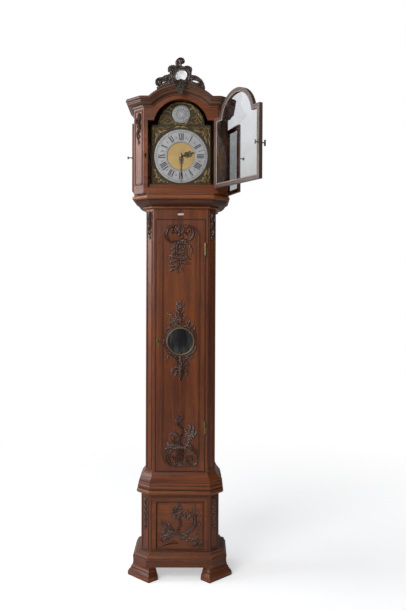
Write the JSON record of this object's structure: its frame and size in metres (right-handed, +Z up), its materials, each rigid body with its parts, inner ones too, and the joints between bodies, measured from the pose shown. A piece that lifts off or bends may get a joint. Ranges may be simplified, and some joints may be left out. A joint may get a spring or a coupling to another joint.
{
  "type": "floor regulator clock",
  "caption": "Tall weight-driven longcase clock with canted corners, arched hood, glazed hood doors, carved trunk door with a lenticle, and a pendulum.",
  "frame": {"origin": "on the floor, on the line straight below the middle of the trunk's width, between the feet", "axes": "+X to the clock's right-hand side as seen from the front, +Y to the wall behind it, +Z up"},
  "size_m": [0.6325, 0.5985, 2.447],
  "materials": {
    "oak": "waxed oak",
    "dark_oak": "dark aged oak",
    "backing": "unfinished oak board",
    "brass": "aged brass",
    "dial_brass": "gilt, matted",
    "silvered": "silvered satin",
    "steel": "aged steel",
    "blued": "dark blued steel",
    "pane": "clear",
    "lens": "clear, a little grey",
    "mirror": "old mirror",
    "bell_metal": "cast, turned",
    "gilt": "old gilt"
  },
  "bodies": {
    "case": {"bracket_feet": "oak", "base_moulding": "oak", "plinth_sides": "oak", "plinth_frame": "oak", "plinth_panel": "oak", "plinth_carving": "oak", "waist_moulding": "oak", "trunk_sides": "oak", "trunk_frame": "oak", "backboard": "backing", "throat_moulding": "oak", "seatboard": "backing", "movement_frame": "brass", "dial_plate": "dial_brass", "chapter_ring": "silvered", "spandrels": "gilt", "arch_boss": "silvered", "bell": "bell_metal", "suspension_cock": "brass", "trunk_hinges": "brass", "weight_chain": "brass", "ring_chain": "brass"},
    "trunk_door": {"trunk_door": "oak", "trunk_door_knuckles": "brass", "door_carving": "oak", "lenticle_ring": "brass", "lenticle_glass": "lens", "trunk_lock": "brass"},
    "key": {"key": "brass"},
    "hood": {"hood_frame": "oak", "hood_mask": "oak", "hood_sill": "oak", "hood_cornice": "oak", "crest": "dark_oak", "crest_mirror": "mirror", "hood_hinges": "brass"},
    "hood_door": {"hood_door": "oak", "hood_door_glass": "pane"},
    "hood_latch": {"hood_door_latch": "brass"},
    "left_door": {"left_door": "oak", "left_door_glass": "pane", "left_door_knob": "brass"},
    "right_door": {"right_door": "oak", "right_door_glass": "pane", "right_door_knob": "brass"},
    "minute": {"minute_hand": "blued", "centre_wheel": "brass"},
    "hour": {"hour_hand": "blued", "hour_wheel": "brass"},
    "minute_wheel": {"minute_wheel": "brass"},
    "going_great": {"going_great_wheel": "brass"},
    "third": {"third_wheel": "brass"},
    "escape": {"escape_wheel": "brass"},
    "anchor": {"anchor": "steel"},
    "strike_great": {"strike_great_wheel": "brass"},
    "hammer": {"hammer": "steel"},
    "pendulum": {"pendulum_rod": "steel", "pendulum_bob": "brass"},
    "weight": {"drive_weight": "brass"},
    "ring": {"chain_ring": "brass"}
  },
  "joints": [
    {"name": "hood_slide", "type": "slide", "parent": "case", "child": "hood", "axis": [0, -1, 0], "range_m": [0, 0.3]},
    {"name": "trunk_door_hinge", "type": "hinge", "parent": "case", "child": "trunk_door", "pos_m": [0.1175, -0.1103, 1.128], "axis": [0, 0, 1], "range_deg": [0, 150]},
    {"name": "key_turn", "type": "hinge", "parent": "trunk_door", "child": "key", "pos_m": [-0.106, -0.105, 1.128], "axis": [0, 1, 0], "range_deg": [0, 90]},
    {"name": "hood_door_hinge", "type": "hinge", "parent": "hood", "child": "hood_door", "pos_m": [0.1695, -0.1735, 1.999], "axis": [0, 0, 1], "range_deg": [-122, 40]},
    {"name": "hood_latch_turn", "type": "hinge", "parent": "hood_door", "child": "hood_latch", "pos_m": [0.33534, -0.46342, 1.999], "axis": [-0.848, -0.5299, 0], "range_deg": [0, 90]},
    {"name": "left_door_hinge", "type": "hinge", "parent": "hood", "child": "left_door", "pos_m": [-0.23108, 0.0975, 2.009], "axis": [0, 0, -1], "range_deg": [0, 100]},
    {"name": "right_door_hinge", "type": "hinge", "parent": "hood", "child": "right_door", "pos_m": [0.23108, 0.0975, 2.009], "axis": [0, 0, 1], "range_deg": [-19, 80]},
    {"name": "minute_turn", "type": "hinge", "parent": "case", "child": "minute", "pos_m": [0, -0.0595, 2.005], "axis": [0, 1, 0], "continuous": true},
    {"name": "hour_turn", "type": "hinge", "parent": "case", "child": "hour", "pos_m": [0, -0.099, 2.005], "axis": [0, 1, 0], "continuous": true},
    {"name": "minute_wheel_turn", "type": "hinge", "parent": "case", "child": "minute_wheel", "pos_m": [0.017, -0.099, 1.98806], "axis": [0, 1, 0], "continuous": true},
    {"name": "going_great_turn", "type": "hinge", "parent": "case", "child": "going_great", "pos_m": [0.03, -0.05, 1.95583], "axis": [0, 1, 0], "continuous": true},
    {"name": "third_turn", "type": "hinge", "parent": "case", "child": "third", "pos_m": [-0.024, -0.0415, 2.03183], "axis": [0, 1, 0], "continuous": true},
    {"name": "escape_turn", "type": "hinge", "parent": "case", "child": "escape", "pos_m": [0, -0.0295, 2.05592], "axis": [0, 1, 0], "continuous": true},
    {"name": "strike_great_turn", "type": "hinge", "parent": "case", "child": "strike_great", "pos_m": [-0.03, -0.05, 1.95583], "axis": [0, 1, 0], "continuous": true},
    {"name": "pendulum_swing", "type": "hinge", "parent": "case", "child": "pendulum", "pos_m": [0, 0.014, 2.08192], "axis": [0, 1, 0], "range_deg": [-3, 3]},
    {"name": "anchor_rock", "type": "hinge", "parent": "case", "child": "anchor", "pos_m": [0, -0.0295, 2.08192], "axis": [0, 1, 0], "range_deg": [-3, 3]},
    {"name": "hammer_lift", "type": "hinge", "parent": "case", "child": "hammer", "pos_m": [0.034, -0.05, 2.07192], "axis": [0, 1, 0], "range_deg": [0, 20]},
    {"name": "weight_slide", "type": "slide", "parent": "case", "child": "weight", "axis": [0, 0, 1], "range_m": [-0.6, 0.1], "deforming": ["weight_chain"]},
    {"name": "ring_slide", "type": "slide", "parent": "case", "child": "ring", "axis": [0, 0, 1], "range_m": [-0.1, 0.6], "deforming": ["ring_chain"]}
  ],
  "couplings": [
    {"joint": "hour_turn", "follows": "minute_turn", "ratio": 0.083333},
    {"joint": "minute_wheel_turn", "follows": "minute_turn", "ratio": -0.33333},
    {"joint": "going_great_turn", "follows": "minute_turn", "ratio": -0.14286},
    {"joint": "third_turn", "follows": "minute_turn", "ratio": -8},
    {"joint": "escape_turn", "follows": "minute_turn", "ratio": 60},
    {"joint": "anchor_rock", "follows": "pendulum_swing", "ratio": 1},
    {"joint": "ring_slide", "follows": "weight_slide", "ratio": -1}
  ]
}
